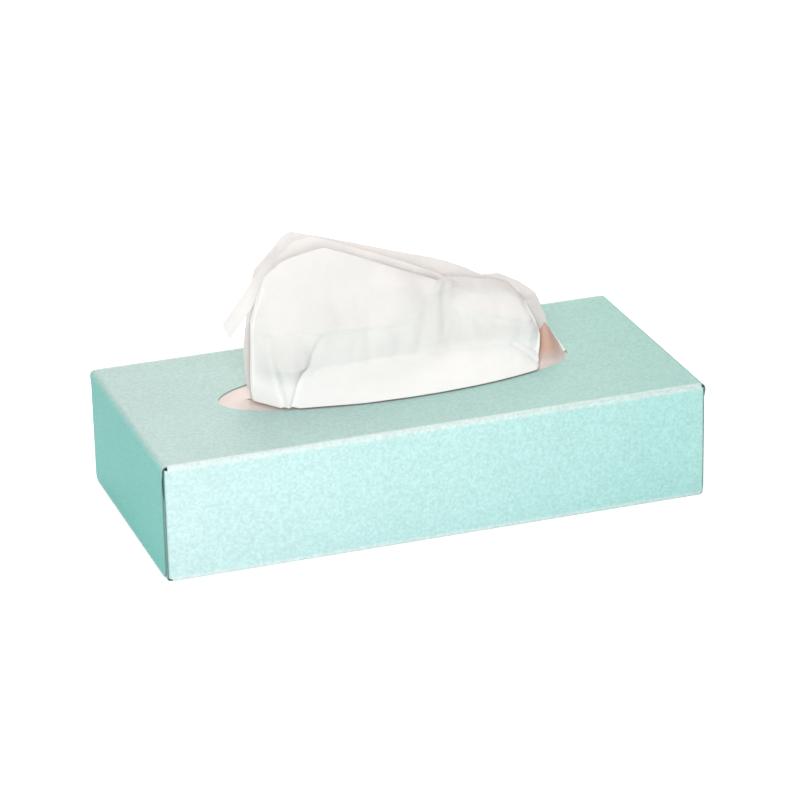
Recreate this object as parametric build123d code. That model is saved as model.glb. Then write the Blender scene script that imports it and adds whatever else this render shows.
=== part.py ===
"""Flat tissue box: a folded and glued paperboard carton with an oval opening, a slit film window
under the opening, the interfolded stack of tissues, and the tissue that stands up out of the slit.

Millimetres. X runs along the long side, Y from the front (-) to the back (+), Z up.
The origin is the middle of the carton's base, on the surface that the box stands on.
"""

from build123d import *

import os

# Carton, outside
LENGTH = 238.0
DEPTH = 114.0
HEIGHT = 51.0

# Paperboard and its folds
BOARD = 0.45
FOLD_RADIUS = 1.2
GLUE_LINE = 0.1
PANEL_CORNER = 2.0

# Long seam: the free edge of the back panel over the tab of the bottom panel
SEAM_TAB = 16.0
SEAM_EDGE_LIFT = 0.7

# End flaps, from the outermost layer inwards. The top flap stops short of the base and is
# narrower below its fold, the bottom flap stops short of the top, and a dust flap stops short of
# the folds above and below it.
TOP_FLAP_LIFT = 0.9
TOP_FLAP_CORNER = 3.0
TOP_FLAP_SIDE_GAP = 2.4
TOP_FLAP_SHOULDER = 3.5
TOP_FLAP_TAPER = 3.0
BOTTOM_FLAP_SHORTENING = 13.0
BOTTOM_FLAP_CORNER = 5.0
DUST_FLAP_REACH = 36.0
DUST_FLAP_SHORTENING = 0.3
DUST_FLAP_CORNER = 8.0

# Oval opening in the top panel
OPENING_LENGTH = 156.0
OPENING_WIDTH = 50.0

# Film window, glued to the top panel all round the opening, and its slit
FILM = 0.06
FILM_MARGIN = 15.0
FILM_CORNER = 6.0
SLIT_SHORTENING = 8.0
SLIT_WIDTH = 3.0

# Interfolded stack: the room left round it and above it
STACK_END_CLEARANCE = 10.95
STACK_SIDE_CLEARANCE = 5.25
STACK_HEADROOM = 5.0
STACK_EDGE_RADIUS = 2.0

# Raised tissue, as a plain solid round its folds
NECK_END_CLEARANCE = 6.0
NECK_SIDE_CLEARANCE = 0.7
SHOULDER_LIFT = 5.0
TISSUE_RISE = 70.0
TISSUE_BODY = 14.0

# Places that follow from the sizes above
HALF_LENGTH = LENGTH / 2
HALF_DEPTH = DEPTH / 2
LAYER = BOARD + GLUE_LINE
TAB_FACE = HALF_DEPTH - LAYER
BOTTOM_FLAP_FACE = HALF_LENGTH - LAYER
DUST_FLAP_FACE = BOTTOM_FLAP_FACE - LAYER
PANEL_END = DUST_FLAP_FACE - FOLD_RADIUS
FLAP_ROOT = PANEL_END - FOLD_RADIUS
END_ROLL_RADIUS = HALF_LENGTH - PANEL_END
PANEL_UNDERSIDE = HEIGHT - BOARD
SLIT_LENGTH = OPENING_LENGTH - 2 * SLIT_SHORTENING
STACK_LENGTH = 2 * (DUST_FLAP_FACE - BOARD - STACK_END_CLEARANCE)
STACK_WIDTH = 2 * (TAB_FACE - BOARD - STACK_SIDE_CLEARANCE)
STACK_TOP = PANEL_UNDERSIDE - FILM - STACK_HEADROOM


def board_section(outside: list, inside: list, radius: float = FOLD_RADIUS) -> Sketch:
    """Section of a folded strip of board, from the corners of its two faces."""
    outer = FilletPolyline(*outside, radius=radius)
    inner = FilletPolyline(*inside, radius=radius - BOARD)
    first = Line(outside[0], inside[0])
    last = Line(outside[-1], inside[-1])
    return make_face([*outer.edges(), last, *inner.edges(), first])


def wrapped_panels() -> Part:
    """The four long panels and the seam tab, wrapped round the X axis."""
    outside = [
        (HALF_DEPTH, SEAM_EDGE_LIFT),
        (HALF_DEPTH, HEIGHT),
        (-HALF_DEPTH, HEIGHT),
        (-HALF_DEPTH, 0),
        (TAB_FACE, 0),
        (TAB_FACE, SEAM_TAB),
    ]
    inside = [
        (HALF_DEPTH - BOARD, SEAM_EDGE_LIFT),
        (HALF_DEPTH - BOARD, PANEL_UNDERSIDE),
        (-HALF_DEPTH + BOARD, PANEL_UNDERSIDE),
        (-HALF_DEPTH + BOARD, BOARD),
        (TAB_FACE - BOARD, BOARD),
        (TAB_FACE - BOARD, SEAM_TAB),
    ]
    section = Plane.YZ * board_section(outside, inside)
    return extrude(section, amount=PANEL_END, both=True)


def rounded_tip(flap: Part, corner: float, outwards: Axis) -> Part:
    """Rounds the two corners at the tip of a flap, where its edges run along X."""
    tip_edges = flap.edges().filter_by(Axis.X).group_by(outwards)[-1]
    return fillet(tip_edges, corner)


def top_flap_side_waste() -> Part:
    """What is cut away from both sides of the top flap, from a taper below its fold down."""
    side = HALF_DEPTH - TOP_FLAP_SIDE_GAP
    taper_top = HEIGHT - TOP_FLAP_SHOULDER
    taper_end = taper_top - TOP_FLAP_TAPER
    outline = Polyline(
        (HALF_DEPTH, taper_top),
        (HALF_DEPTH - FOLD_RADIUS, taper_top),
        (side, taper_end),
        (side, 0),
        (HALF_DEPTH, 0),
        close=True,
    )
    waste = extrude(Plane.YZ * make_face(outline), amount=LENGTH)
    return waste + mirror(waste, about=Plane.XZ)


def top_flap() -> Part:
    """Outermost flap of the right end: it rolls over from the top panel and is glued down."""
    face = HALF_LENGTH
    outside = [(FLAP_ROOT, HEIGHT), (face, HEIGHT), (face, TOP_FLAP_LIFT)]
    inside = [
        (FLAP_ROOT, PANEL_UNDERSIDE),
        (face - BOARD, PANEL_UNDERSIDE),
        (face - BOARD, TOP_FLAP_LIFT),
    ]
    section = Plane.XZ * board_section(outside, inside, END_ROLL_RADIUS)
    flap = extrude(section, amount=HALF_DEPTH - FOLD_RADIUS, both=True) - top_flap_side_waste()
    return rounded_tip(flap, TOP_FLAP_CORNER, Axis((0, 0, 0), (0, 0, -1)))


def bottom_flap() -> Part:
    """Second layer of the right end: it stands up from the bottom panel."""
    face = BOTTOM_FLAP_FACE
    tip = HEIGHT - BOTTOM_FLAP_SHORTENING
    outside = [(FLAP_ROOT, 0), (face, 0), (face, tip)]
    inside = [(FLAP_ROOT, BOARD), (face - BOARD, BOARD), (face - BOARD, tip)]
    section = Plane.XZ * board_section(outside, inside)
    flap = extrude(section, amount=TAB_FACE - FOLD_RADIUS, both=True)
    return rounded_tip(flap, BOTTOM_FLAP_CORNER, Axis.Z)


def dust_flap() -> Part:
    """Innermost layer at the right end of the front panel, folded in behind the others."""
    face = DUST_FLAP_FACE
    tip = -HALF_DEPTH + DUST_FLAP_REACH
    outside = [(FLAP_ROOT, -HALF_DEPTH), (face, -HALF_DEPTH), (face, tip)]
    inside = [
        (FLAP_ROOT, -HALF_DEPTH + BOARD),
        (face - BOARD, -HALF_DEPTH + BOARD),
        (face - BOARD, tip),
    ]
    lowest = FOLD_RADIUS + DUST_FLAP_SHORTENING
    section = Plane.XY.offset(lowest) * board_section(outside, inside)
    flap = extrude(section, amount=HEIGHT - 2 * lowest)
    return rounded_tip(flap, DUST_FLAP_CORNER, Axis.Y)


def panel_corner_waste() -> Part:
    """What is cut away to round the corners of the front and back panels, at their folds."""
    length = 2 * DUST_FLAP_FACE
    rounded = Pos(0, HEIGHT / 2) * RectangleRounded(length, HEIGHT, PANEL_CORNER)
    waste = Pos(0, HEIGHT / 2) * Rectangle(length, HEIGHT) - rounded
    front = Plane.XZ.offset(HALF_DEPTH - FOLD_RADIUS) * waste
    back = Plane.XZ.offset(FOLD_RADIUS - HALF_DEPTH) * waste
    return extrude(front, amount=FOLD_RADIUS) + extrude(back, amount=-FOLD_RADIUS)


def carton() -> Part:
    """The whole carton: one blank, folded, with its seam and its end flaps glued."""
    front_dust_flap = dust_flap()
    back_dust_flap = mirror(front_dust_flap, about=Plane.XZ)
    right_end = [top_flap(), bottom_flap(), front_dust_flap, back_dust_flap]
    left_end = [mirror(flap, about=Plane.YZ) for flap in right_end]
    oval = Plane.XY.offset(PANEL_UNDERSIDE) * Ellipse(OPENING_LENGTH / 2, OPENING_WIDTH / 2)
    panels = wrapped_panels() - panel_corner_waste() - extrude(oval, amount=BOARD)
    return panels + right_end + left_end


def film_window() -> Part:
    """Clear film under the top panel, with the slit that the raised tissue holds open."""
    length = OPENING_LENGTH + 2 * FILM_MARGIN
    width = OPENING_WIDTH + 2 * FILM_MARGIN
    outline = RectangleRounded(length, width, FILM_CORNER)
    slit = SlotOverall(SLIT_LENGTH, SLIT_WIDTH)
    return extrude(Plane.XY.offset(PANEL_UNDERSIDE) * (outline - slit), amount=-FILM)


def tissue_stack() -> Part:
    """The interfolded tissues still in the box, as one solid on the bottom panel."""
    stack = Pos(0, 0, BOARD) * Box(
        STACK_LENGTH,
        STACK_WIDTH,
        STACK_TOP - BOARD,
        align=(Align.CENTER, Align.CENTER, Align.MIN),
    )
    return fillet(stack.edges().filter_by(Axis.X), STACK_EDGE_RADIUS)


def pop_up_tissue() -> Part:
    """Plain solid for the raised tissue: a thin neck in the slit under a fan that leans left."""
    half = SLIT_LENGTH / 2 - NECK_END_CLEARANCE
    shoulder = HEIGHT + SHOULDER_LIFT
    top = HEIGHT + TISSUE_RISE
    neck = Pos(0, 0, STACK_TOP) * Box(
        2 * half,
        SLIT_WIDTH - 2 * NECK_SIDE_CLEARANCE,
        shoulder - STACK_TOP,
        align=(Align.CENTER, Align.CENTER, Align.MIN),
    )
    outline = Polyline(
        (-half, shoulder),
        (-half, shoulder + 0.55 * TISSUE_RISE),
        (-0.8 * half, top - 0.03 * TISSUE_RISE),
        (-0.6 * half, top),
        (0.35 * half, top - 0.25 * TISSUE_RISE),
        (0.8 * half, top - 0.4 * TISSUE_RISE),
        (half, top - 0.6 * TISSUE_RISE),
        (half, shoulder),
        close=True,
    )
    fan = extrude(Plane.XZ * make_face(outline), amount=TISSUE_BODY / 2, both=True)
    return neck + fan


PARTS = {
    "carton": carton,
    "film_window": film_window,
    "tissue_stack": tissue_stack,
    "pop_up_tissue": pop_up_tissue,
}

os.makedirs("parts", exist_ok=True)
for name, build in PARTS.items():
    export_step(build(), f"parts/{name}.step")
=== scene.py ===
"""Looks of a flat tissue box: the printed carton, its film window, the stack and the raised tissue.

Metres, in the frame of the CAD model: X along the long side, Y from front (-) to back (+), Z up.
Sizes in the classes below are millimetres unless they say otherwise.
"""

import logging
import math
from dataclasses import dataclass, field
from enum import Enum

import bpy
import numpy as np
from mathutils import Matrix, Vector, noise


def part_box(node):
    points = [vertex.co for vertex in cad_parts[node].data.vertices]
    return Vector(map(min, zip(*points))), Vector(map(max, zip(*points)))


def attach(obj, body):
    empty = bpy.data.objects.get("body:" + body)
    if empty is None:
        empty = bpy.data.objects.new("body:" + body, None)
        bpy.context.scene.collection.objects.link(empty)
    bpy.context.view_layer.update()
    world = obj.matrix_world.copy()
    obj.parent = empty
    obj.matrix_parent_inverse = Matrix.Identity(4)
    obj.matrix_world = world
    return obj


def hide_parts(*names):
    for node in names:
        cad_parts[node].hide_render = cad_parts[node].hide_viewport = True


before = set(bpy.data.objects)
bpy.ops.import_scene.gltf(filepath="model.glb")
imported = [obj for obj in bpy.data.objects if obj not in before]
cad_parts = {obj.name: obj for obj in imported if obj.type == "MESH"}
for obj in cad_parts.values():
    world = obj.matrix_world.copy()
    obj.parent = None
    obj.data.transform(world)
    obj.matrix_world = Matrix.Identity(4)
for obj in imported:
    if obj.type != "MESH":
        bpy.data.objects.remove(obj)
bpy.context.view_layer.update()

LOG = logging.getLogger("tissue_box")
MM = 0.001
BODY = "root"

Point = tuple[float, float, float]


class Slot(Enum):
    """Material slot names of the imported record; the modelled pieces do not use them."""

    FILM = "window_film"
    STACK = "folded_tissue"
    RAISED = "raised_tissue"


class Node(Enum):
    """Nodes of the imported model."""

    CARTON = "carton"
    FILM = "film_window"
    STACK = "tissue_stack"
    RAISED = "pop_up_tissue"


def linear(hex_colour: str) -> tuple[float, float, float, float]:
    """Turns an sRGB colour to the linear one that shaders use.

    Args:
        hex_colour: Six hex digits, with or without a leading hash.

    Returns:
        Linear red, green, blue and an alpha of 1.
    """
    digits = hex_colour.lstrip("#")
    channels = [int(digits[i : i + 2], 16) / 255 for i in (0, 2, 4)]
    values = [c / 12.92 if c <= 0.04045 else ((c + 0.055) / 1.055) ** 2.4 for c in channels]
    return (values[0], values[1], values[2], 1.0)


def add(
    tree: bpy.types.NodeTree,
    kind: str,
    settings: dict[str | int, object] | None = None,
    links: dict[str | int, bpy.types.NodeSocket] | None = None,
) -> bpy.types.Node:
    """Adds one node with its settings and links.

    Args:
        tree: Node tree that gets the node.
        kind: Blender's name of the node type.
        settings: Values by property name, or by the name or number of an input.
        links: Output sockets by the name or number of the input they feed.

    Returns:
        The new node.
    """
    node = tree.nodes.new(kind)
    for name, value in (settings or {}).items():
        if isinstance(name, str) and hasattr(node, name):
            setattr(node, name, value)
        else:
            node.inputs[name].default_value = value
    for name, source in (links or {}).items():
        tree.links.new(source, node.inputs[name])
    return node


def new_material(name: str) -> tuple[bpy.types.Material, bpy.types.NodeTree]:
    """Makes an empty node material.

    Args:
        name: Name of the material.

    Returns:
        The material and its node tree.
    """
    material = bpy.data.materials.new(name)
    material.use_nodes = True
    material.node_tree.nodes.clear()
    return material, material.node_tree


def mesh_object(name: str, points: np.ndarray, faces: list[tuple[int, ...]]) -> bpy.types.Object:
    """Makes a smooth-shaded mesh object from points in millimetres.

    Args:
        name: Name of the object and its mesh.
        points: One row of three coordinates a vertex.
        faces: Vertex numbers of each face.

    Returns:
        The new object, linked to the scene.
    """
    mesh = bpy.data.meshes.new(name)
    mesh.from_pydata([tuple(p) for p in points * MM], [], faces)
    mesh.validate()
    mesh.polygons.foreach_set("use_smooth", [True] * len(mesh.polygons))
    obj = bpy.data.objects.new(name, mesh)
    bpy.context.scene.collection.objects.link(obj)
    return obj


def grid_faces(rows: int, columns: int, first: int = 0) -> list[tuple[int, ...]]:
    """Quads of a grid whose vertices run along its columns first.

    Args:
        rows: Number of rows of vertices.
        columns: Number of vertices in a row.
        first: Number of the grid's first vertex.

    Returns:
        Vertex numbers of each quad.
    """
    return [
        (a, a + 1, a + columns + 1, a + columns)
        for r in range(rows - 1)
        for a in range(first + r * columns, first + r * columns + columns - 1)
    ]


def resample(points: np.ndarray, count: int, softness: float) -> np.ndarray:
    """Runs a line through control points, between straight runs and a smooth curve.

    Args:
        points: Control points, along the first axis.
        count: Number of points wanted.
        softness: 0 for straight runs, 1 for a Catmull-Rom curve.

    Returns:
        The points of the line, evenly spaced in the control points' own numbering.
    """
    last = len(points) - 1
    where = np.linspace(0, last, count)
    start = np.minimum(where.astype(int), last - 1)
    t = (where - start).reshape(-1, *([1] * (points.ndim - 1)))
    padded = np.concatenate([2 * points[:1] - points[1:2], points, 2 * points[-1:] - points[-2:-1]])
    a, b, c, d = (padded[start + i] for i in range(4))
    curve = 0.5 * (
        2 * b + (c - a) * t + (2 * a - 5 * b + 4 * c - d) * t**2 + (3 * b - a - 3 * c + d) * t**3
    )
    return softness * curve + (1 - softness) * (b + (c - b) * t)


# ---------------------------------------------------------------------------------------------
# Finishes
# ---------------------------------------------------------------------------------------------


@dataclass(frozen=True)
class PrintedBoard:
    """Folding boxboard: clay-coated white face, offset print, matt water varnish, grey back.

    The print is a pale mint with the faint speckle of a coarse halftone. The varnish gives a soft
    sheen with no clear reflection, and cut edges and the inside show the grey recycled pulp.
    """

    # The mint runs from the left colour to the right one across the box; the darker right is painted
    # shade for the light falling off.
    left: str = "#CFEEED"
    right: str = "#B6E9E4"
    # Deeper mint of the end panels, partly painted shade for the ends that face away from the light.
    end_ink_and_shade: str = "#6CD3C8"
    # Grey multiplier for faces that look up: painted shade on the top of the box.
    top_shade_tone: str = "#E2E2DF"
    pulp: str = "#86A39D"
    fold_highlight_white: str = "#F4F8F6"
    # Paling along the long folds: painted highlight on the fold edges, with some whitening of the
    # stretched coating.
    fold_highlight_share: float = 0.5
    speckle_mm: float = 1.2
    speckle_depth: float = 0.1
    cloud_mm: float = 26.0
    fibre_mm: float = 1.6
    roughness: float = 0.46
    inset_mm: float = 3.0

    def build(self, size: Vector) -> bpy.types.Material:
        """Makes the material for a carton of the given outside size.

        Args:
            size: Length, depth and height of the carton, in metres, with its base at z = 0.

        Returns:
            The material.
        """
        material, tree = new_material("offset_printed_boxboard")
        inset = self.inset_mm * MM
        low = (inset - size.x / 2, inset - size.y / 2, inset)
        high = (size.x / 2 - inset, size.y / 2 - inset, size.z - inset)
        place = add(tree, "ShaderNodeTexCoord").outputs["Object"]
        normal = add(tree, "ShaderNodeNewGeometry").outputs["Normal"]
        above = add(
            tree, "ShaderNodeVectorMath", {"operation": "MAXIMUM", 1: low}, {0: place}
        ).outputs[0]
        core = add(
            tree, "ShaderNodeVectorMath", {"operation": "MINIMUM", 1: high}, {0: above}
        ).outputs[0]
        out = add(tree, "ShaderNodeVectorMath", {"operation": "SUBTRACT"}, {0: place, 1: core})
        away = add(tree, "ShaderNodeVectorMath", {"operation": "NORMALIZE"}, {0: out.outputs[0]})
        facing = add(
            tree, "ShaderNodeVectorMath", {"operation": "DOT_PRODUCT"}, {0: away.outputs[0], 1: normal}
        ).outputs["Value"]
        printed = add(
            tree, "ShaderNodeMapRange", {"From Min": 0.62, "From Max": 0.86}, {"Value": facing}
        ).outputs[0]

        # The mint darkens from left to right: painted shade for the light falling off across the box.
        # The end panels are a deeper mint, partly painted shade for ends facing away from the light.
        axes = add(tree, "ShaderNodeSeparateXYZ", {}, {0: place}).outputs
        across = add(
            tree,
            "ShaderNodeMapRange",
            {"From Min": -size.x / 2, "From Max": size.x / 2},
            {"Value": axes["X"]},
        ).outputs[0]
        face = add(
            tree,
            "ShaderNodeMix",
            {"data_type": "RGBA", 6: linear(self.left), 7: linear(self.right)},
            {0: across},
        ).outputs[2]
        away_axes = add(tree, "ShaderNodeSeparateXYZ", {}, {0: away.outputs[0]}).outputs
        sideways = add(
            tree, "ShaderNodeMath", {"operation": "ABSOLUTE"}, {0: away_axes["X"]}
        ).outputs[0]
        end = add(
            tree, "ShaderNodeMath", {"operation": "POWER", 1: 4.0, "use_clamp": True}, {0: sideways}
        ).outputs[0]
        ink = add(
            tree, "ShaderNodeMix", {"data_type": "RGBA", 7: linear(self.end_ink_and_shade)}, {0: end, 6: face}
        ).outputs[2]
        # Faces that look up get the grey top tone multiplied in: painted shade on the top.
        up = add(
            tree,
            "ShaderNodeMapRange",
            {"From Min": 0.5, "From Max": 0.95},
            {"Value": away_axes["Z"]},
        ).outputs[0]
        deeper = add(
            tree,
            "ShaderNodeMix",
            {"data_type": "RGBA", "blend_type": "MULTIPLY", 0: 1.0, 7: linear(self.top_shade_tone)},
            {6: ink},
        ).outputs[2]
        ink = add(
            tree, "ShaderNodeMix", {"data_type": "RGBA"}, {0: up, 6: ink, 7: deeper}
        ).outputs[2]

        # Along the long folds the ink pales towards near-white: painted highlight on the fold edges,
        # with some real whitening where the scored coating stretches.
        lean = add(tree, "ShaderNodeVectorMath", {"operation": "ABSOLUTE"}, {0: away.outputs[0]})
        leans = add(tree, "ShaderNodeSeparateXYZ", {}, {0: lean.outputs[0]}).outputs
        both_ways = add(
            tree, "ShaderNodeMath", {"operation": "MULTIPLY"}, {0: leans["Y"], 1: leans["Z"]}
        ).outputs[0]
        folded = add(
            tree,
            "ShaderNodeMapRange",
            {"From Min": 0.1, "From Max": 0.42, "To Max": self.fold_highlight_share},
            {"Value": both_ways},
        ).outputs[0]
        ink = add(
            tree, "ShaderNodeMix", {"data_type": "RGBA", 7: linear(self.fold_highlight_white)}, {0: folded, 6: ink}
        ).outputs[2]

        # A halftone dot is under 0.2 mm; the speckle is drawn at 1.2 mm so that it shows.
        speckle = add(
            tree,
            "ShaderNodeTexNoise",
            {"Scale": 1 / (self.speckle_mm * MM), "Detail": 2.0, "Roughness": 0.6},
            {"Vector": place},
        ).outputs["Fac"]
        cloud = add(
            tree,
            "ShaderNodeTexNoise",
            {"Scale": 1 / (self.cloud_mm * MM), "Detail": 3.0, "Roughness": 0.5},
            {"Vector": place},
        ).outputs["Fac"]
        depth = self.speckle_depth
        grain = add(
            tree,
            "ShaderNodeMapRange",
            {"From Min": 0.3, "From Max": 0.7, "To Min": 1 - depth, "To Max": 1 + depth, "clamp": False},
            {"Value": speckle},
        ).outputs[0]
        drift = add(
            tree,
            "ShaderNodeMapRange",
            {"From Min": 0.3, "From Max": 0.7, "To Min": 0.985, "To Max": 1.015},
            {"Value": cloud},
        ).outputs[0]
        tone = add(tree, "ShaderNodeMath", {"operation": "MULTIPLY"}, {0: grain, 1: drift}).outputs[0]
        inked = add(
            tree, "ShaderNodeVectorMath", {"operation": "SCALE"}, {0: ink, "Scale": tone}
        ).outputs[0]
        colour = add(
            tree, "ShaderNodeMix", {"data_type": "RGBA", 6: linear(self.pulp)}, {0: printed, 7: inked}
        ).outputs[2]

        # Fibre clumps about a millimetre across telegraph faintly through the coating.
        fibre = add(
            tree,
            "ShaderNodeTexNoise",
            {"Scale": 1 / (self.fibre_mm * MM), "Detail": 4.0, "Roughness": 0.65},
            {"Vector": place},
        ).outputs["Fac"]
        rough = add(
            tree,
            "ShaderNodeMapRange",
            {"To Min": 0.85, "To Max": self.roughness},
            {"Value": printed},
        ).outputs[0]
        bump = add(
            tree, "ShaderNodeBump", {"Strength": 0.16, "Distance": 0.0003}, {"Height": fibre}
        ).outputs[0]
        shader = add(
            tree,
            "ShaderNodeBsdfPrincipled",
            {"IOR": 1.45, "Specular IOR Level": 0.4},
            {"Base Color": colour, "Roughness": rough, "Normal": bump},
        )
        add(tree, "ShaderNodeOutputMaterial", {}, {"Surface": shader.outputs[0]})
        return material


@dataclass(frozen=True)
class CrepedTissue:
    """Facial tissue: two plies of bleached pulp, creped on the drying drum.

    Light comes through it, so folds glow and only several layers look dense. The crepe is a fine
    cross ripple that kills any shine.
    """

    name: str
    colour: str = "#FEFDFB"
    # Greyer colour for tissue a few millimetres or more behind the slit: painted shade on the back
    # layers.
    thin: str = "#F1EEEC"
    glow: str = "#FFF7F3"
    through: float = 0.13
    doubled_mm: float = 60.0
    single_mm: float = 66.0
    crepe_mm: float = 0.7
    crepe_along: float = 4.0
    fleck_mm: float = 5.0
    crumple_mm: float = 26.0
    crumple_deep_mm: float = 4.0
    # Darkest share of the colour in the crumples: painted shade in the creases.
    crumple_shade: float = 0.92
    back_shade_from_mm: float = 0.2
    back_shade_full_mm: float = 3.0

    def build(self) -> bpy.types.Material:
        """Makes the material.

        Returns:
            The material.
        """
        material, tree = new_material(self.name)
        place = add(tree, "ShaderNodeTexCoord").outputs["Object"]
        # Real crepe ridges are 0.2 mm apart; they are drawn at 0.7 mm so that they show.
        stretched = add(
            tree, "ShaderNodeMapping", {"Scale": (1 / self.crepe_along, 1.0, 1.0)}, {"Vector": place}
        ).outputs[0]
        crepe = add(
            tree,
            "ShaderNodeTexNoise",
            {"Scale": 1 / (self.crepe_mm * MM), "Detail": 3.0, "Roughness": 0.6},
            {"Vector": stretched},
        ).outputs["Fac"]
        fleck = add(
            tree,
            "ShaderNodeTexNoise",
            {"Scale": 1 / (self.fleck_mm * MM), "Detail": 5.0, "Roughness": 0.6},
            {"Vector": place},
        ).outputs["Fac"]
        # Handling leaves shallow creases a few centimetres long. They are bumped, and painted shade
        # darkens the colour in them.
        crumple = add(
            tree,
            "ShaderNodeTexNoise",
            {
                "noise_type": "RIDGED_MULTIFRACTAL",
                "Scale": 1 / (self.crumple_mm * MM),
                "Detail": 2.0,
                "Roughness": 0.4,
            },
            {"Vector": place},
        ).outputs["Fac"]
        height = add(tree, "ShaderNodeSeparateXYZ", {}, {0: place}).outputs["Z"]
        ends = {"From Min": self.doubled_mm * MM, "From Max": self.single_mm * MM}
        single = add(tree, "ShaderNodeMapRange", ends, {"Value": height}).outputs[0]
        # The doubled shelf at the foot lies pressed flat, so it has none of them.
        loose = add(
            tree, "ShaderNodeMath", {"operation": "MULTIPLY"}, {0: crumple, 1: single}
        ).outputs[0]
        clean = add(
            tree,
            "ShaderNodeMapRange",
            {"From Min": 0.3, "From Max": 0.7, "To Min": 0.975, "To Max": 1.0},
            {"Value": fleck},
        ).outputs[0]
        shade = add(
            tree, "ShaderNodeMapRange", {"To Min": 1.0, "To Max": self.crumple_shade}, {"Value": loose}
        ).outputs[0]
        tone = add(
            tree, "ShaderNodeMath", {"operation": "MULTIPLY"}, {0: clean, 1: shade}
        ).outputs[0]
        paper = add(tree, "ShaderNodeCombineColor", {}, {0: tone, 1: tone, 2: tone}).outputs[0]
        # The colour greys from 0.2 mm to 3 mm behind the slit's plane: painted shade for the layers that
        # stand behind the front one.
        depth = add(tree, "ShaderNodeSeparateXYZ", {}, {0: place}).outputs["Y"]
        back_shade_span = {"From Min": self.back_shade_from_mm * MM, "From Max": self.back_shade_full_mm * MM}
        thin = add(tree, "ShaderNodeMapRange", back_shade_span, {"Value": depth}).outputs[0]
        ply_with_back_shade = add(
            tree,
            "ShaderNodeMix",
            {"data_type": "RGBA", 6: linear(self.colour), 7: linear(self.thin)},
            {0: thin},
        ).outputs[2]
        tint = add(
            tree,
            "ShaderNodeMix",
            {"data_type": "RGBA", "blend_type": "MULTIPLY", 0: 1.0},
            {6: ply_with_back_shade, 7: paper},
        ).outputs[2]
        creased = add(
            tree,
            "ShaderNodeBump",
            {"Strength": 1.0, "Distance": self.crumple_deep_mm * MM},
            {"Height": loose},
        ).outputs[0]
        bump = add(
            tree,
            "ShaderNodeBump",
            {"Strength": 0.22, "Distance": 0.0003},
            {"Height": crepe, "Normal": creased},
        ).outputs[0]
        front = add(
            tree, "ShaderNodeBsdfDiffuse", {"Roughness": 0.5}, {"Color": tint, "Normal": bump}
        ).outputs[0]
        back = add(
            tree, "ShaderNodeBsdfTranslucent", {"Color": linear(self.glow)}, {"Normal": bump}
        ).outputs[0]
        # The shelf at the foot is doubled and lets less light through than the single sheet above.
        shares = {**ends, "To Min": 0.02, "To Max": self.through}
        through = add(tree, "ShaderNodeMapRange", shares, {"Value": height}).outputs[0]
        mixed = add(tree, "ShaderNodeMixShader", {}, {0: through, 1: front, 2: back}).outputs[0]
        add(tree, "ShaderNodeOutputMaterial", {}, {"Surface": mixed})
        return material


@dataclass(frozen=True)
class ClearFilm:
    """Cast polyethylene film, 0.06 mm, slightly milky.

    It reads as a faint warm veil with soft broad highlights where it is not quite flat.
    """

    tint: str = "#F6E9E3"
    pass_tint: str = "#FFF1EB"
    # Deeper peach of the film where it rises into the tent: painted warm shade.
    creased: str = "#EFC6B4"
    milk: float = 0.78
    milk_drift: float = 0.06
    ripple_mm: float = 14.0
    tent_shade_from_mm: float = 51.8
    tent_shade_full_mm: float = 56.0

    def build(self) -> bpy.types.Material:
        """Makes the material.

        Returns:
            The material.
        """
        material, tree = new_material("cast_polyethylene_film")
        place = add(tree, "ShaderNodeTexCoord").outputs["Object"]
        ripple = add(
            tree,
            "ShaderNodeTexNoise",
            {"Scale": 1 / (self.ripple_mm * MM), "Detail": 3.0},
            {"Vector": place},
        ).outputs["Fac"]
        bump = add(
            tree, "ShaderNodeBump", {"Strength": 0.35, "Distance": 0.002}, {"Height": ripple}
        ).outputs[0]
        thinnest, thickest = self.milk - self.milk_drift, self.milk + self.milk_drift
        haze = add(
            tree,
            "ShaderNodeMapRange",
            {"From Min": 0.3, "From Max": 0.7, "To Min": thinnest, "To Max": thickest},
            {"Value": ripple},
        ).outputs[0]
        # Where it is dragged up into the tent, the colour turns a deeper peach: painted warm shade on
        # the lifted film.
        height = add(tree, "ShaderNodeSeparateXYZ", {}, {0: place}).outputs["Z"]
        tent_shade_span = {"From Min": self.tent_shade_from_mm * MM, "From Max": self.tent_shade_full_mm * MM}
        folds = add(tree, "ShaderNodeMapRange", tent_shade_span, {"Value": height}).outputs[0]
        colour = add(
            tree,
            "ShaderNodeMix",
            {"data_type": "RGBA", 6: linear(self.tint), 7: linear(self.creased)},
            {0: folds},
        ).outputs[2]
        veil = add(
            tree,
            "ShaderNodeBsdfPrincipled",
            {"Roughness": 0.22, "IOR": 1.51},
            {"Base Color": colour, "Normal": bump},
        ).outputs[0]
        clear = add(tree, "ShaderNodeBsdfTransparent", {"Color": linear(self.pass_tint)}).outputs[0]
        mixed = add(tree, "ShaderNodeMixShader", {}, {0: haze, 1: clear, 2: veil}).outputs[0]
        add(tree, "ShaderNodeOutputMaterial", {}, {"Surface": mixed})
        return material


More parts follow.
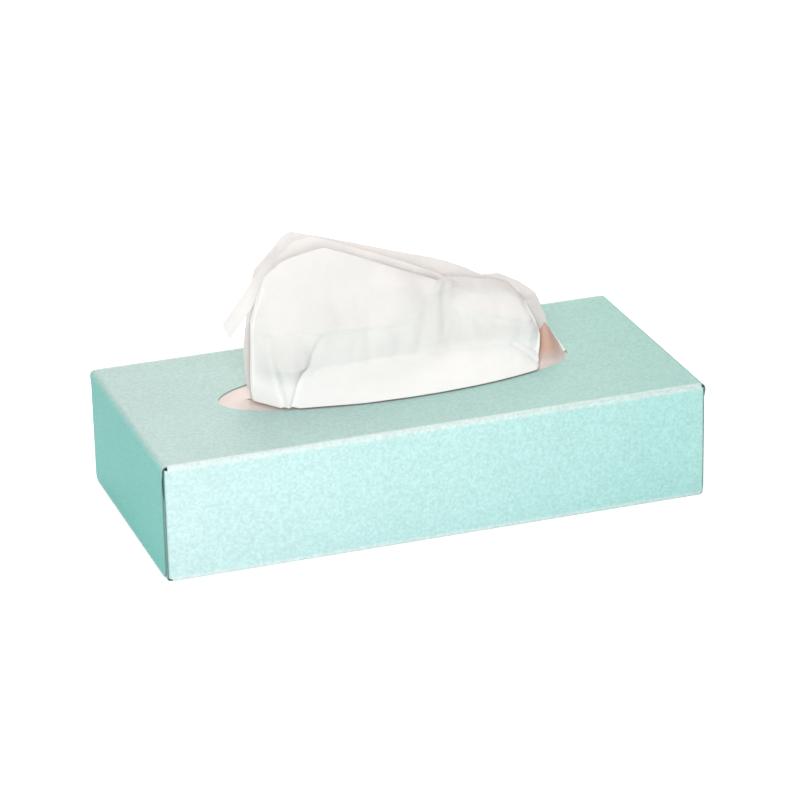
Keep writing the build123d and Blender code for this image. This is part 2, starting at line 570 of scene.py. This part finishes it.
@dataclass(frozen=True)
class PaleSweep:
    """Matt painted studio floor, white, that keeps a soft shadow."""

    colour: str = "#F2F2F2"
    shine: float = 0.69

    def build(self) -> bpy.types.Material:
        """Makes the material.

        Returns:
            The material.
        """
        material, tree = new_material("matt_studio_paint")
        rays = add(tree, "ShaderNodeLightPath").outputs
        seen = add(
            tree, "ShaderNodeMath", {"operation": "MAXIMUM"},
            {0: rays["Is Camera Ray"], 1: rays["Is Glossy Ray"]},
        ).outputs[0]
        seen = add(
            tree, "ShaderNodeMath", {"operation": "MAXIMUM"},
            {0: seen, 1: rays["Is Transmission Ray"]},
        ).outputs[0]
        strength = add(
            tree, "ShaderNodeMath", {"operation": "MULTIPLY", 1: self.shine}, {0: seen}
        ).outputs[0]
        paint = add(tree, "ShaderNodeBsdfDiffuse", {"Color": linear(self.colour)}).outputs[0]
        lift = add(
            tree, "ShaderNodeEmission", {"Color": (1, 1, 1, 1)}, {"Strength": strength}
        ).outputs[0]
        both = add(tree, "ShaderNodeAddShader", {}, {0: paint, 1: lift}).outputs[0]
        add(tree, "ShaderNodeOutputMaterial", {}, {"Surface": both})
        return material


# ---------------------------------------------------------------------------------------------
# Pieces
# ---------------------------------------------------------------------------------------------


@dataclass
class Carton:
    """The folded carton, as the CAD has it, with its printed finish."""

    finish: PrintedBoard = field(default_factory=PrintedBoard)

    def dress(self) -> bpy.types.Object:
        """Gives the CAD carton its material.

        Returns:
            The carton.
        """
        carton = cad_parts[Node.CARTON.value]
        low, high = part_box(Node.CARTON.value)
        material = self.finish.build(high - low)
        carton.data.materials.clear()
        carton.data.materials.append(material)
        return carton


@dataclass
class FilmWindow:
    """Film under the opening, drawn up a little along its slit by the raised tissue."""

    half_length: float = 93.0
    half_width: float = 40.0
    free_half_length: float = 76.5
    free_half_width: float = 24.0
    slit_half_length: float = 66.0
    slit_half_width: float = 2.0
    lip_lift: float = 1.3
    lip_reach: float = 9.0
    tent_lift: float = 15.5
    tent_middle: float = 68.0
    tent_left: float = 9.0
    tent_right: float = 9.5
    height: float = 50.52
    ripple: float = 0.12
    ripple_length: float = 7.0
    ripple_shift: float = 3.0
    ripple_reach: float = 12.0
    crowding: float = 1.6
    weld_gap: float = 0.02
    columns: int = 121
    rows: int = 28
    finish: ClearFilm = field(default_factory=ClearFilm)

    def side(self, sign: float) -> np.ndarray:
        """Points of the film on one side of the slit.

        Args:
            sign: -1 for the front half, 1 for the back half.

        Returns:
            The points, from the slit outwards, one row after another.
        """
        x = np.linspace(-self.half_length, self.half_length, self.columns)
        lens = np.clip(1 - (x / self.slit_half_length) ** 2, 0, None) ** 0.5
        inner = self.slit_half_width * lens
        # The raised tissue drags the film up with it into a small tent at the slit's right end.
        reach = np.where(x < self.tent_middle, self.tent_left, self.tent_right)
        peak = np.clip(1 - np.abs(x - self.tent_middle) / reach, 0, 1)
        along = (x / self.free_half_length) ** 2
        edge = self.free_half_width * np.clip(1 - along, 0.0004, 1) ** 0.5
        # The tissue's shelf lies on the front lip and holds it down.
        lip = self.lip_lift if sign > 0 else 0.0
        points = []
        for t in np.linspace(0, 1, self.rows) ** self.crowding:
            away = inner + (self.half_width - inner) * t
            lift = lip * lens * np.exp(-(((away - inner) / self.lip_reach) ** 2))
            swing = np.sin(x / self.ripple_length + self.ripple_shift * sign)
            wave = self.ripple * swing * lens * np.exp(-away / self.ripple_reach)
            oval = along + (away / self.free_half_width) ** 2
            tent = self.tent_lift * peak * np.clip(1 - away / edge, 0, 1)
            rise = (lift + wave) * np.clip(1 - oval, 0, 1) + tent
            points.append(np.stack([x, sign * away, self.height + rise], axis=1))
        return np.concatenate(points)

    def build(self) -> bpy.types.Object:
        """Makes the film and its finish.

        Returns:
            The film.
        """
        front, back = self.side(-1), self.side(1)
        faces = grid_faces(self.rows, self.columns)
        faces += [f[::-1] for f in grid_faces(self.rows, self.columns, len(front))]
        film = mesh_object("window_film", np.concatenate([front, back]), faces)
        weld = film.modifiers.new("weld", "WELD")
        weld.merge_threshold = self.weld_gap * MM
        film.data.materials.append(self.finish.build())
        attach(film, BODY)
        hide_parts(Node.FILM.value)
        return film


@dataclass
class TissueStack:
    """Interfolded tissues in the box, with the soft fold edges of their layers."""

    half_length: float = 105.5
    half_width: float = 50.0
    bottom: float = 0.7
    top: float = 44.6
    layers: int = 34
    columns: int = 72
    top_steps: int = 24
    bottom_steps: int = 6
    fold_inset: float = 0.45
    unevenness: float = 0.35
    uneven_size: Point = (25.0, 8.0, 1.7)
    crown: float = 0.5
    crown_turn: float = 1.4
    finish: CrepedTissue = field(default_factory=lambda: CrepedTissue("folded_tissue_stack"))

    def outline(self) -> list[tuple[float, float]]:
        """Outline of the stack across its length, stepped where the layers are folded.

        Returns:
            Y and Z of each point, up the front, over the top, down the back and under.
        """
        steps = 3 * self.layers
        tall = self.top - self.bottom
        ring: list[tuple[float, float]] = []
        for i in range(steps + 1):
            inset = self.fold_inset * (i % 3 == 0)
            ring.append((-self.half_width + inset, self.bottom + tall * i / steps))
        for i in range(1, self.top_steps):
            ring.append((-self.half_width + 2 * self.half_width * i / self.top_steps, self.top))
        for i in range(steps + 1):
            inset = self.fold_inset * (i % 3 == 0)
            ring.append((self.half_width - inset, self.top - tall * i / steps))
        for i in range(1, self.bottom_steps):
            ring.append((self.half_width - 2 * self.half_width * i / self.bottom_steps, self.bottom))
        return ring

    def build(self) -> bpy.types.Object:
        """Makes the stack and its finish.

        Returns:
            The stack.
        """
        ring = self.outline()
        across, down, thick = self.uneven_size
        points = []
        for x in np.linspace(-self.half_length, self.half_length, self.columns):
            crown = self.crown * math.cos(x / self.half_length * self.crown_turn)
            for y, z in ring:
                edge = self.unevenness * noise.noise(Vector((x / across, y / down, z / thick)))
                lift = crown * (z > self.top - 0.01) * (1 - abs(y) / self.half_width)
                points.append((x, y * (1 + edge / self.half_width), z + lift))
        count = len(ring)
        faces: list[tuple[int, ...]] = [
            (c * count + i, c * count + j, (c + 1) * count + j, (c + 1) * count + i)
            for c in range(self.columns - 1)
            for i, j in zip(range(count), [*range(1, count), 0])
        ]
        last = (self.columns - 1) * count
        faces += [tuple(range(count))[::-1], tuple(range(last, last + count))]
        stack = mesh_object("tissue_stack_folds", np.array(points), faces)
        stack.data.materials.append(self.finish.build())
        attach(stack, BODY)
        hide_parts(Node.STACK.value)
        return stack


@dataclass(frozen=True)
class Crease:
    """A line pressed into the sheet, in X and Z. A positive depth comes forward.

    The fade is the share of the depth that is left at the far end of the path.
    """

    path: tuple[tuple[float, float], ...]
    depth: float
    width: float = 2.0
    fade: float = 0.3


@dataclass
class RaisedTissue:
    """The tissue that stands out of the slit: one sheet, folded low down inside the box.

    Its front layer lies forward over the film as a shelf, then stands up; its back layer stands
    higher behind it. The side margins are folded in between the two. Each layer is a patch of its
    own in the mesh, and the patches are not welded to one another.
    """

    flat: tuple[float, float] = (0.213, 0.203)
    step: float = 0.9
    softness: float = 0.3
    wrinkle: float = 0.45
    facet: float = 12.0
    facet_tall: float = 34.0
    facet_spread: float = 90.0
    facet_slope: float = 0.3
    back_facet_slope: float = 0.12
    slit_height: float = 50.5
    calm_height: float = 51.5
    calm_fade: float = 6.0
    wave_size: Point = (16.0, 30.0, 22.0)
    wave_roughness: float = 0.9
    wave_lacunarity: float = 2.2
    wave_octaves: int = 4
    facet_bend: tuple[float, float] = (0.25, 0.2)
    rise_share: float = 0.25
    rise_size: float = 9.0
    layer_seed: float = 7.3
    # Front layer, from the slit over the shelf to the hem, left to right.
    front: tuple[tuple[Point, ...], ...] = (
        (
            (-63, -0.3, 50.75), (-55, -0.4, 50.75), (-52, -0.5, 50.75), (-49, -0.5, 50.75),
            (-22, -0.6, 50.75), (0, -0.6, 50.75), (15, -0.6, 50.75), (27, -0.6, 50.75),
            (36, -0.5, 50.75), (46, -0.5, 50.75), (54, -0.4, 50.75), (59, -0.4, 50.75),
            (61, -0.3, 50.75),
        ),
        (
            (-64, -1.5, 51.3), (-55, -9, 51.3), (-52.5, -9.5, 51.3), (-49.5, -10, 51.3),
            (-22, -12, 51.3), (0, -12, 51.3), (15, -12, 51.3), (27, -11, 51.3),
            (36.5, -10.5, 51.3), (46, -9.5, 51.3), (54, -8, 51.3), (58.5, -7, 51.3),
            (60.5, -6, 51.3),
        ),
        (
            (-64.3, -4.5, 51.6), (-55.5, -17.2, 51.6), (-52.7, -18.9, 51.6), (-49.8, -19.4, 51.6),
            (-22, -24.3, 51.6), (0, -25.3, 51.6), (15, -24.8, 51.6), (27, -23.7, 51.6),
            (36.5, -22.4, 51.6), (46, -20.4, 51.6), (53.5, -18.4, 51.6), (58, -16.9, 51.6),
            (60.6, -13.4, 51.6),
        ),
        (
            (-65, -5, 56), (-55.4, -15.6, 59), (-52, -19.2, 57), (-46.9, -18, 58.5),
            (-23, -18.7, 58), (-2, -19.2, 57.8), (13, -19, 57.7), (25, -18.2, 57.8),
            (35, -17.2, 57.3), (44, -16.2, 57.3), (51.5, -15.2, 57), (57.5, -12.5, 55.5),
            (61.2, -11.2, 54.4),
        ),
        (
            (-65, -5.5, 62), (-56, -15, 66), (-50, -17.5, 63.5), (-42, -14.7, 65),
            (-24.4, -11.2, 63.7), (-4.4, -10.6, 63.4), (9.8, -10, 63), (27.5, -8.2, 62.3),
            (34, -9.8, 62), (41.1, -10.8, 62.2), (49.1, -11, 62), (57.5, -10.8, 59.6),
            (62.5, -8.7, 57.6),
        ),
        (
            (-64.5, -5, 72), (-57.5, -13.2, 74.5), (-48.5, -15.5, 73), (-38, -12.8, 73),
            (-23.5, -12.6, 72), (-5, -12.2, 71.3), (9.5, -10.8, 71), (29, -4.6, 68.6),
            (34, -7.4, 68), (42, -9.8, 67.6), (49.8, -11.4, 66.6), (58.5, -10.4, 64.4),
            (64, -6.3, 63),
        ),
        (
            (-63.6, -3, 84), (-57.5, -10, 83.5), (-48, -13.2, 82.5), (-34.8, -13.4, 81),
            (-21, -14.2, 80.5), (-5.8, -14, 80), (10.5, -9.4, 79.5), (29, -2.6, 77.5),
            (33.5, -4.6, 77.5), (41, -6.4, 75.4), (50, -8.0, 72.6), (58.4, -7.4, 70.6),
            (62.8, -2.5, 68.8),
        ),
        (
            (-60, -1.5, 95), (-53.5, -6, 97.7), (-45, -8.5, 99.5), (-33, -8.5, 101),
            (-18.5, -8, 97.5), (-1, -8, 94.8), (15, -4.5, 88.3), (27.5, -0.6, 85), (33, -1.0, 84.3),
            (40, -1.6, 82.1), (50, -2.2, 79.2), (56.5, -1.4, 77.5), (60.5, 1.5, 75.5),
        ),
        (
            (-56, -1, 104), (-50, -2, 109), (-42.6, -2, 111.5), (-30.3, -2, 114),
            (-15.6, -1.5, 107.5), (1.9, -0.5, 99.5), (20, 0.5, 91.5), (25.5, 1.2, 91.5),
            (33, 2.5, 90), (41, 3, 88), (48.5, 4, 86), (54, 5, 83.5), (58, 6, 80),
        ),
    )
    # Fold of the sheet that stands between the front and back layers.
    middle: tuple[tuple[Point, ...], ...] = (
        ((-60, 0.1, 50.4), (-40, 0.1, 50.4), (-20, 0.1, 50.4), (0, 0.1, 50.4), (20, 0.1, 50.4),
         (40, 0.1, 50.4), (58, 0.1, 50.4)),
        ((-60, 1.5, 62), (-40, 3, 62), (-20, 5, 62), (0, 5.5, 62), (22, 7.5, 62), (40, 5, 62),
         (58, 2, 62)),
        ((-58, 1.0, 82), (-40, 1.0, 82), (-20, 1.0, 82), (0, 1.5, 82), (21, 6, 80), (36, 4, 78),
         (54, 2, 72)),
        ((-52, 0.8, 109), (-43, 0.8, 117.3), (-34, 0.8, 118.5), (-16, 1.0, 111), (4, 1.3, 102.3),
         (19, 2.0, 95), (27, 3.2, 90)),
    )
    # Back layer, from the slit to the ridge.
    back: tuple[tuple[Point, ...], ...] = (
        ((-64, 0.5, 50.4), (-54, 0.6, 50.4), (-42, 0.6, 50.4), (-20, 0.6, 50.4), (0, 0.6, 50.4),
         (20, 0.6, 50.4), (34, 0.6, 50.4), (44, 0.6, 50.4), (52, 0.6, 50.4), (58, 0.5, 50.4),
         (63, 0.4, 50.4), (66, 0.3, 50.4)),
        ((-65, 3, 58), (-55, 5, 58), (-42, 7, 58), (-20, 8, 58), (0, 9, 58), (20, 9, 58),
         (34, 8, 58), (44, 7, 58), (53, 5, 57), (61, 2, 55), (70, 0, 52.6), (77, -1.5, 51.8)),
        ((-65.5, 3, 72), (-56, 5, 75), (-43, 7, 76), (-21, 8, 76), (1, 9, 74), (21, 9, 72),
         (35, 8, 70), (45, 8, 69), (54, 7, 67), (62, 5, 64), (68, 3, 60), (73.5, 0, 58)),
        ((-63, 2.5, 91), (-54, 4, 97), (-43, 5, 98), (-22, 6, 96), (2, 7, 92), (22, 7, 87),
         (36, 7, 82), (45, 7, 80), (54, 7, 77), (61, 6, 72.5), (66.5, 4, 67), (69.8, 1, 64)),
        ((-59.7, 2.5, 106.8), (-47.6, 2.8, 119.5), (-42.8, 2.8, 121.2), (-22.8, 3, 114.7),
         (3.4, 3, 106.1), (24.7, 3.6, 98.8), (34, 5, 93.8), (42, 6, 89), (49.5, 6, 88.6),
         (59, 6, 83.6), (65.8, 3.5, 78), (69.6, 1.5, 67.2)),
    )
    # Turned-down corner that hangs free at the left.
    corner: tuple[tuple[Point, ...], ...] = (
        ((-49.5, 2.2, 116.2), (-48, 1.8, 113), (-47, 1.4, 110.5)),
        ((-58.7, 1.9, 105.8), (-57.5, 1.2, 103), (-55.4, 0.8, 101)),
        ((-66.3, 1.2, 95.5), (-64.3, 0.2, 93.0), (-62.2, 0.2, 90.5)),
        ((-74.6, 1.0, 84.9), (-73.5, -0.4, 81.5), (-71.6, 0.2, 78.5)),
    )
    # Margins tucked in between the layers at the two ends, from front edge to fold to back edge.
    left_tuck: tuple[tuple[Point, ...], ...] = (
        ((-63.5, -3, 51.4), (-50, 0.2, 51.2), (-64, 2, 51.4)),
        ((-64.9, -5.3, 60), (-49, 0.5, 60), (-65, 3, 59)),
        ((-64.4, -4.9, 72), (-50, 0.5, 72), (-65.4, 3, 72)),
        ((-63.5, -2.9, 84), (-51, 0.8, 84), (-63.8, 2.6, 86)),
        ((-58, -1.2, 100), (-50, 1, 98), (-60, 2.5, 101)),
    )
    right_tuck: tuple[tuple[Point, ...], ...] = (
        ((60.5, -10, 51.4), (50, -1, 51.2), (66, 1.5, 51.6)),
        ((62.4, -8.5, 57.6), (51, 0, 57), (71, 1.2, 57)),
        ((63.9, -5.2, 63), (51, 1, 63), (70, 1.5, 63)),
        ((62.7, -2.4, 68.8), (50, 2, 69), (68.8, 2, 68.5)),
        ((60.4, 3.5, 75.5), (50, 4, 75), (66.2, 3.6, 76)),
    )
    # What stays under the film, doubled on the stack.
    hidden: tuple[tuple[Point, ...], ...] = (
        ((-74, 34, 46.6), (0, 34, 46.6), (74, 34, 46.6)),
        ((-72, 16, 46.8), (0, 16, 46.8), (72, 16, 46.8)),
        ((-66, 0.4, 48.2), (0, 0.4, 48.2), (66, 0.4, 48.2)),
        ((-64, 0.0, 50.4), (0, 0.0, 50.4), (62, 0.0, 50.4)),
        ((-66, -0.4, 48.2), (0, -0.4, 48.2), (66, -0.4, 48.2)),
        ((-72, -16, 46.4), (0, -16, 46.4), (72, -16, 46.4)),
        ((-74, -34, 46.1), (0, -34, 46.1), (74, -34, 46.1)),
    )
    creases: tuple[Crease, ...] = (
        Crease(((-54.4, 52), (-55.8, 62), (-57.6, 74), (-57, 80)), -2.4, 1.7, 0.4),
        Crease(((-51.2, 52), (-46.6, 60), (-41, 66.5), (-36, 78)), -2.4, 2.2, 0.4),
        Crease(
            ((-46, 61.5), (-24.4, 62.4), (-4.4, 62), (9.8, 61.6), (27, 61), (44, 61)), -1.5, 4.0, 0.7
        ),
        Crease(((-57, 82), (-48, 83), (-35, 81.4), (-16.5, 80.5), (-5, 80), (8, 80.5)), 1.2, 1.6, 0.6),
        Crease(((24.5, 91.5), (9, 87), (-8, 82.5)), 2.6, 6.0, 0.4),
        Crease(((25, 92.5), (19, 89.5), (7, 88.5)), -1.2, 1.5),
        Crease(((25, 92.5), (22, 84), (20.5, 70)), -2.0, 3.0, 0.6),
        Crease(((25.5, 92.5), (29, 88), (38, 84)), -1.3, 1.8),
        Crease(((25, 92.5), (11, 94), (-3, 93)), 0.9, 2.2),
        Crease(((20, 90), (4, 96), (-8, 99)), -0.7, 2.5),
        Crease(((61.5, 51.5), (56.5, 56.5), (50, 61.5)), -1.7, 1.2),
        Crease(((63.5, 54.5), (58.5, 59), (52, 64)), -1.4, 1.2),
        Crease(((30, 80), (41, 75), (52, 72.5), (62.5, 67)), 2.2, 4.0, 0.6),
        Crease(((62, 68), (50, 69.5), (38, 73.5)), -0.9, 1.8),
        Crease(((46, 87), (54, 81.5), (60, 74)), -1.0, 2.0),
        Crease(((40, 86), (50, 82), (57, 76)), 0.8, 2.6),
        Crease(((-63, 86), (-59, 98), (-54, 104)), -1.0, 1.6),
        Crease(((-45, 64), (-47, 76)), -0.8, 1.8),
    )
    finish: CrepedTissue = field(default_factory=lambda: CrepedTissue("raised_creped_tissue"))

    def layer(self, rows: tuple[tuple[Point, ...], ...]) -> tuple[np.ndarray, int, int]:
        """Fills one layer between its control points.

        Args:
            rows: Control points, a tuple a row.

        Returns:
            The points, the number of rows and the number of columns.
        """
        control = np.array(rows, float)
        tall = np.linalg.norm(np.diff(control, axis=0), axis=2).sum(0).max()
        wide = np.linalg.norm(np.diff(control, axis=1), axis=2).sum(1).max()
        down, across = int(tall / self.step) + 2, int(wide / self.step) + 2
        lines = resample(control, down, self.softness)
        points = resample(lines.transpose(1, 0, 2), across, self.softness).transpose(1, 0, 2)
        return points.reshape(-1, 3), down, across

    def pressed(self, points: np.ndarray) -> np.ndarray:
        """How far the creases push each point of the front layer.

        Args:
            points: Points of the front layer.

        Returns:
            Millimetres for each point, forward is positive.
        """
        push = np.zeros(len(points))
        flat = points[:, [0, 2]]
        for crease in self.creases:
            best = np.full(len(points), np.inf)
            share = np.zeros(len(points))
            path = np.array(crease.path, float)
            for i, (a, b) in enumerate(zip(path[:-1], path[1:])):
                run = b - a
                t = np.clip(((flat - a) @ run) / (run @ run), 0, 1)
                far = np.linalg.norm(flat - a - t[:, None] * run, axis=1)
                nearer = far < best
                best = np.where(nearer, far, best)
                share = np.where(nearer, (i + t) / (len(path) - 1), share)
            taper = 1 - (1 - crease.fade) * share
            push += crease.depth * taper * np.clip(1 - best / crease.width, 0, 1)
        return push

    def wrinkled(
        self, points: np.ndarray, seed: float, amount: float, crumple: float
    ) -> np.ndarray:
        """Adds the soft irregular waves of thin paper.

        Args:
            points: Points of a layer.
            seed: Shift of the noise, so that layers differ.
            amount: Height of the waves.
            crumple: Slope of the flat facets between the waves.

        Returns:
            The moved points.
        """
        moved = points.copy()
        wide, deep, tall = self.wave_size
        for i, (x, y, z) in enumerate(points):
            fade = min(1.0, max(0.0, (z - self.calm_height) / self.calm_fade))
            spot = Vector((x / wide + seed, y / deep, z / tall))
            wave = noise.fractal(spot, self.wave_roughness, self.wave_lacunarity, self.wave_octaves)
            spread = self.facet * (1 + (z - self.slit_height) / self.facet_spread)
            sideways = x / spread + seed + self.facet_bend[0] * wave
            bend = Vector((sideways, seed, z / self.facet_tall + self.facet_bend[1] * wave))
            facet = noise.voronoi(bend)[0][0] * self.facet * crumple
            rise = noise.noise(Vector((x / self.rise_size, seed, z / self.rise_size)))
            moved[i, 1] += amount * fade * wave + fade * facet
            moved[i, 2] += self.rise_share * amount * fade * rise
        return moved

    def build(self) -> bpy.types.Object:
        """Makes the sheet and its finish.

        Returns:
            The raised tissue.
        """
        points: list[np.ndarray] = []
        faces: list[tuple[int, ...]] = []
        count = 0
        layers = (
            self.front,
            self.middle,
            self.back,
            self.corner,
            self.left_tuck,
            self.right_tuck,
            self.hidden,
        )
        still = (self.left_tuck, self.right_tuck, self.hidden)
        for number, rows in enumerate(layers):
            body, down, across = self.layer(rows)
            if rows is self.front:
                body[:, 1] -= self.pressed(body)
            if rows not in still:
                crumple = self.facet_slope if rows is self.front else self.back_facet_slope
                body = self.wrinkled(body, self.layer_seed * number, self.wrinkle, crumple)
            points.append(body)
            faces += grid_faces(down, across, count)
            count += len(body)
        tissue = mesh_object("raised_tissue_sheet", np.concatenate(points), faces)
        tissue.data.materials.append(self.finish.build())
        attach(tissue, BODY)
        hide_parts(Node.RAISED.value)
        return tissue


# ---------------------------------------------------------------------------------------------
# Studio
# ---------------------------------------------------------------------------------------------


@dataclass
class Camera:
    """The camera, by the angles it looks from and the shift of its aim."""

    azimuth: float = -18.7636
    elevation: float = 22.64
    roll: float = -1.2389
    distance: float = 1611.97
    right: float = 1.0759
    up: float = 37.087
    lens: float = 168.88

    def build(self) -> bpy.types.Object:
        """Makes the camera and sets it as the scene's own.

        Returns:
            The camera.
        """
        a, e, r = (math.radians(v) for v in (self.azimuth, self.elevation, self.roll))
        back = Vector((math.sin(a) * math.cos(e), -math.cos(a) * math.cos(e), math.sin(e)))
        level = Vector((math.cos(a), math.sin(a), 0))
        upright = back.cross(level)
        side = math.cos(r) * level + math.sin(r) * upright
        top = -math.sin(r) * level + math.cos(r) * upright
        data = bpy.data.cameras.new("studio_camera")
        data.lens = self.lens
        data.sensor_width = 36.0
        data.clip_start = 0.1
        camera = bpy.data.objects.new("studio_camera", data)
        place = (back * self.distance + side * self.right + top * self.up) * MM
        turn = Matrix((side, top, back)).transposed().to_4x4()
        camera.matrix_world = Matrix.Translation(place) @ turn
        bpy.context.scene.collection.objects.link(camera)
        bpy.context.scene.camera = camera
        return camera


@dataclass(frozen=True)
class Softbox:
    """One square area lamp and the point it faces, in metres."""

    name: str
    place: Point
    aim: Point
    size: float
    watts: float
    colour: str = "#FFFFFF"

    def build(self) -> bpy.types.Object:
        """Makes the lamp.

        Returns:
            The lamp.
        """
        data = bpy.data.lights.new(self.name, "AREA")
        data.size = self.size
        data.energy = self.watts
        data.color = linear(self.colour)[:3]
        lamp = bpy.data.objects.new(self.name, data)
        lamp.location = self.place
        away = Vector(self.aim) - Vector(self.place)
        lamp.rotation_euler = away.to_track_quat("-Z", "Y").to_euler()
        bpy.context.scene.collection.objects.link(lamp)
        return lamp


@dataclass
class Studio:
    """Floor, lamps, surroundings and camera."""

    ambient: float = 0.36
    half_floor: float = 4.0
    lamps: tuple[Softbox, ...] = (
        Softbox("key_softbox", (-0.24, -0.64, 0.43), (-0.02, 0, 0.04), 0.35, 3.2),
        Softbox("top_softbox", (0.02, 0.32, 0.82), (0, 0.02, 0.05), 0.5, 3.2, "#FFF5EE"),
        Softbox("back_softbox", (0.22, 0.6, 0.42), (0, 0, 0.07), 0.5, 1.1, "#FFF9F4"),
    )
    camera: Camera = field(default_factory=Camera)
    floor_finish: PaleSweep = field(default_factory=PaleSweep)

    def world(self) -> None:
        """Lights the object evenly from all round, and shows white to the camera."""
        world = bpy.data.worlds.new("studio_surroundings")
        bpy.context.scene.world = world
        world.use_nodes = True
        tree = world.node_tree
        tree.nodes.clear()
        rays = add(tree, "ShaderNodeLightPath").outputs
        strength = add(
            tree,
            "ShaderNodeMapRange",
            {"To Min": self.ambient, "To Max": 1.0},
            {"Value": rays["Is Camera Ray"]},
        ).outputs[0]
        sky = add(tree, "ShaderNodeBackground", {"Color": (1, 1, 1, 1)}, {"Strength": strength})
        add(tree, "ShaderNodeOutputWorld", {}, {"Surface": sky.outputs[0]})

    def floor(self) -> bpy.types.Object:
        """Makes the floor that the box stands on.

        Returns:
            The floor.
        """
        half = self.half_floor / MM
        corners = [(-half, -half, 0), (half, -half, 0), (half, half, 0), (-half, half, 0)]
        points = np.array(corners, float)
        floor = mesh_object("studio_floor", points, [(0, 1, 2, 3)])
        floor.data.materials.append(self.floor_finish.build())
        return floor

    def build(self) -> None:
        """Makes everything round the object."""
        bpy.context.scene.view_settings.view_transform = "Standard"
        self.world()
        self.floor()
        for lamp in self.lamps:
            lamp.build()
        self.camera.build()


def main() -> None:
    """Builds and dresses every piece."""
    logging.basicConfig(level=logging.INFO, format="%(name)s: %(message)s")
    Studio().build()
    pieces = [Carton().dress(), FilmWindow().build(), TissueStack().build(), RaisedTissue().build()]
    for piece in pieces:
        LOG.info("%s: %d vertices", piece.name, len(piece.data.vertices))


if __name__ == "__main__":
    main()
